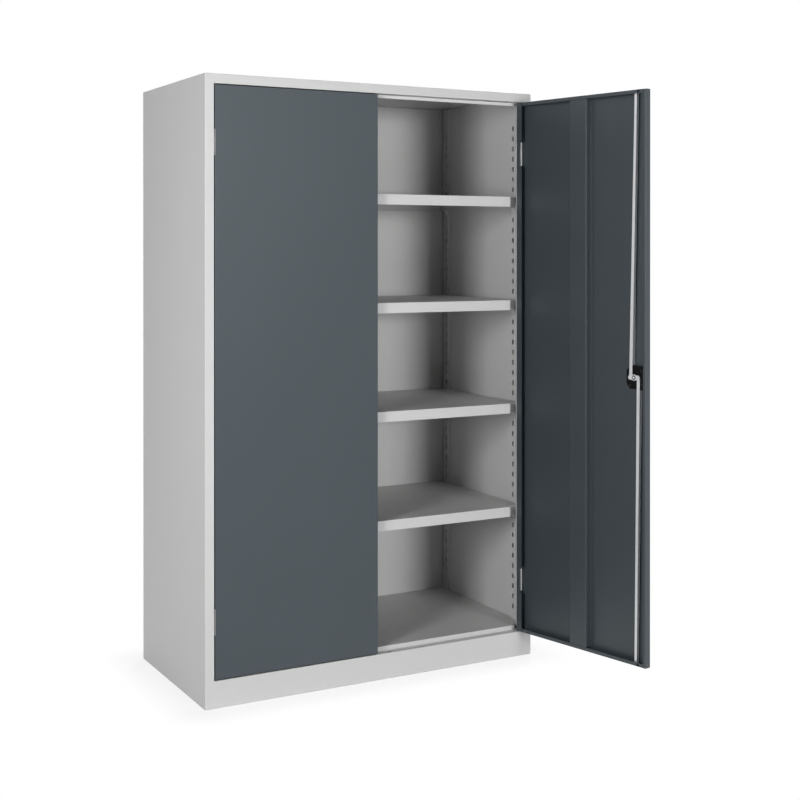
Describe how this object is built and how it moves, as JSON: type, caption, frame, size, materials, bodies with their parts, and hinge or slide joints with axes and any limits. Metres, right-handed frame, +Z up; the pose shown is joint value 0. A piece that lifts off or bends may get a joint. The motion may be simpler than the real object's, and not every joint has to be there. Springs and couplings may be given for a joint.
{
  "type": "tool cabinet with doors",
  "caption": "Tall sheet-steel tool cabinet with two wing doors, one open, slotted uprights, height-adjustable shelves and a turn-handle rod lock.",
  "frame": {"origin": "on the floor, under the middle of the carcass's width and depth", "axes": "+X towards the right-hand side seen from the front, +Y towards the back, +Z up"},
  "size_m": [1.3035, 1.148, 1.95],
  "materials": {
    "light_grey_paint": "semi-matt light grey powder coat, fine texture",
    "dark_grey_paint": "semi-matt anthracite powder coat, fine texture",
    "zinc_plated": "bright zinc plating",
    "black_plastic": "moulded plastic, fine matt texture",
    "black_steel": "blackened screw heads"
  },
  "bodies": {
    "carcass": {"side_left": "light_grey_paint", "side_right": "light_grey_paint", "top_panel": "light_grey_paint", "back_panel": "light_grey_paint", "floor_panel": "light_grey_paint", "plinth_front": "light_grey_paint", "base_frame": "light_grey_paint", "stop_rail": "light_grey_paint", "post_front_left": "light_grey_paint", "post_front_right": "light_grey_paint", "post_rear_left": "light_grey_paint", "post_rear_right": "light_grey_paint", "shelf_1": "light_grey_paint", "shelf_2": "light_grey_paint", "shelf_3": "light_grey_paint", "shelf_4": "light_grey_paint", "clips_1": "zinc_plated", "clips_2": "zinc_plated", "clips_3": "zinc_plated", "clips_4": "zinc_plated", "left_frame_leaves": "zinc_plated", "right_frame_leaves": "zinc_plated"},
    "left_door": {"left_door_pan": "dark_grey_paint", "left_door_stiffener": "dark_grey_paint", "left_door_strip": "dark_grey_paint", "left_door_leaves": "zinc_plated", "left_hinge_pins": "zinc_plated"},
    "right_door": {"right_door_pan": "dark_grey_paint", "right_door_stiffener": "dark_grey_paint", "right_door_leaves": "zinc_plated", "right_hinge_pins": "zinc_plated", "lock_case": "black_plastic", "case_screws": "black_steel", "handle_rosette": "black_plastic"},
    "handle": {"turn_handle": "black_plastic", "lock_cylinder": "zinc_plated", "spindle": "zinc_plated", "cam": "zinc_plated", "cam_screw": "zinc_plated", "rod_pins": "zinc_plated"},
    "upper_rod_body": {"upper_rod": "zinc_plated"},
    "lower_rod_body": {"lower_rod": "zinc_plated"}
  },
  "joints": [
    {"name": "left_door_swing", "type": "hinge", "parent": "carcass", "child": "left_door", "pos_m": [-0.5635, -0.295, 1.002], "axis": [0, 0, 1], "range_deg": [-106, 0]},
    {"name": "right_door_swing", "type": "hinge", "parent": "carcass", "child": "right_door", "pos_m": [0.5635, -0.295, 1.002], "axis": [0, 0, 1], "range_deg": [-102, 4]},
    {"name": "handle_turn", "type": "hinge", "parent": "right_door", "child": "handle", "pos_m": [0.65713, -0.79803, 1.002], "axis": [0.9781, 0.2079, 0], "range_deg": [0, 90]},
    {"name": "upper_rod_lift", "type": "hinge", "parent": "handle", "child": "upper_rod_body", "pos_m": [0.65489, -0.78266, 1.002], "axis": [0.9781, 0.2079, 0], "range_deg": [-95, 4]},
    {"name": "lower_rod_drop", "type": "hinge", "parent": "handle", "child": "lower_rod_body", "pos_m": [0.66133, -0.81298, 1.002], "axis": [0.9781, 0.2079, 0], "range_deg": [-95, 4]}
  ],
  "couplings": [
    {"joint": "upper_rod_lift", "follows": "handle_turn", "ratio": -1.0108},
    {"joint": "lower_rod_drop", "follows": "handle_turn", "ratio": -1.0108}
  ]
}
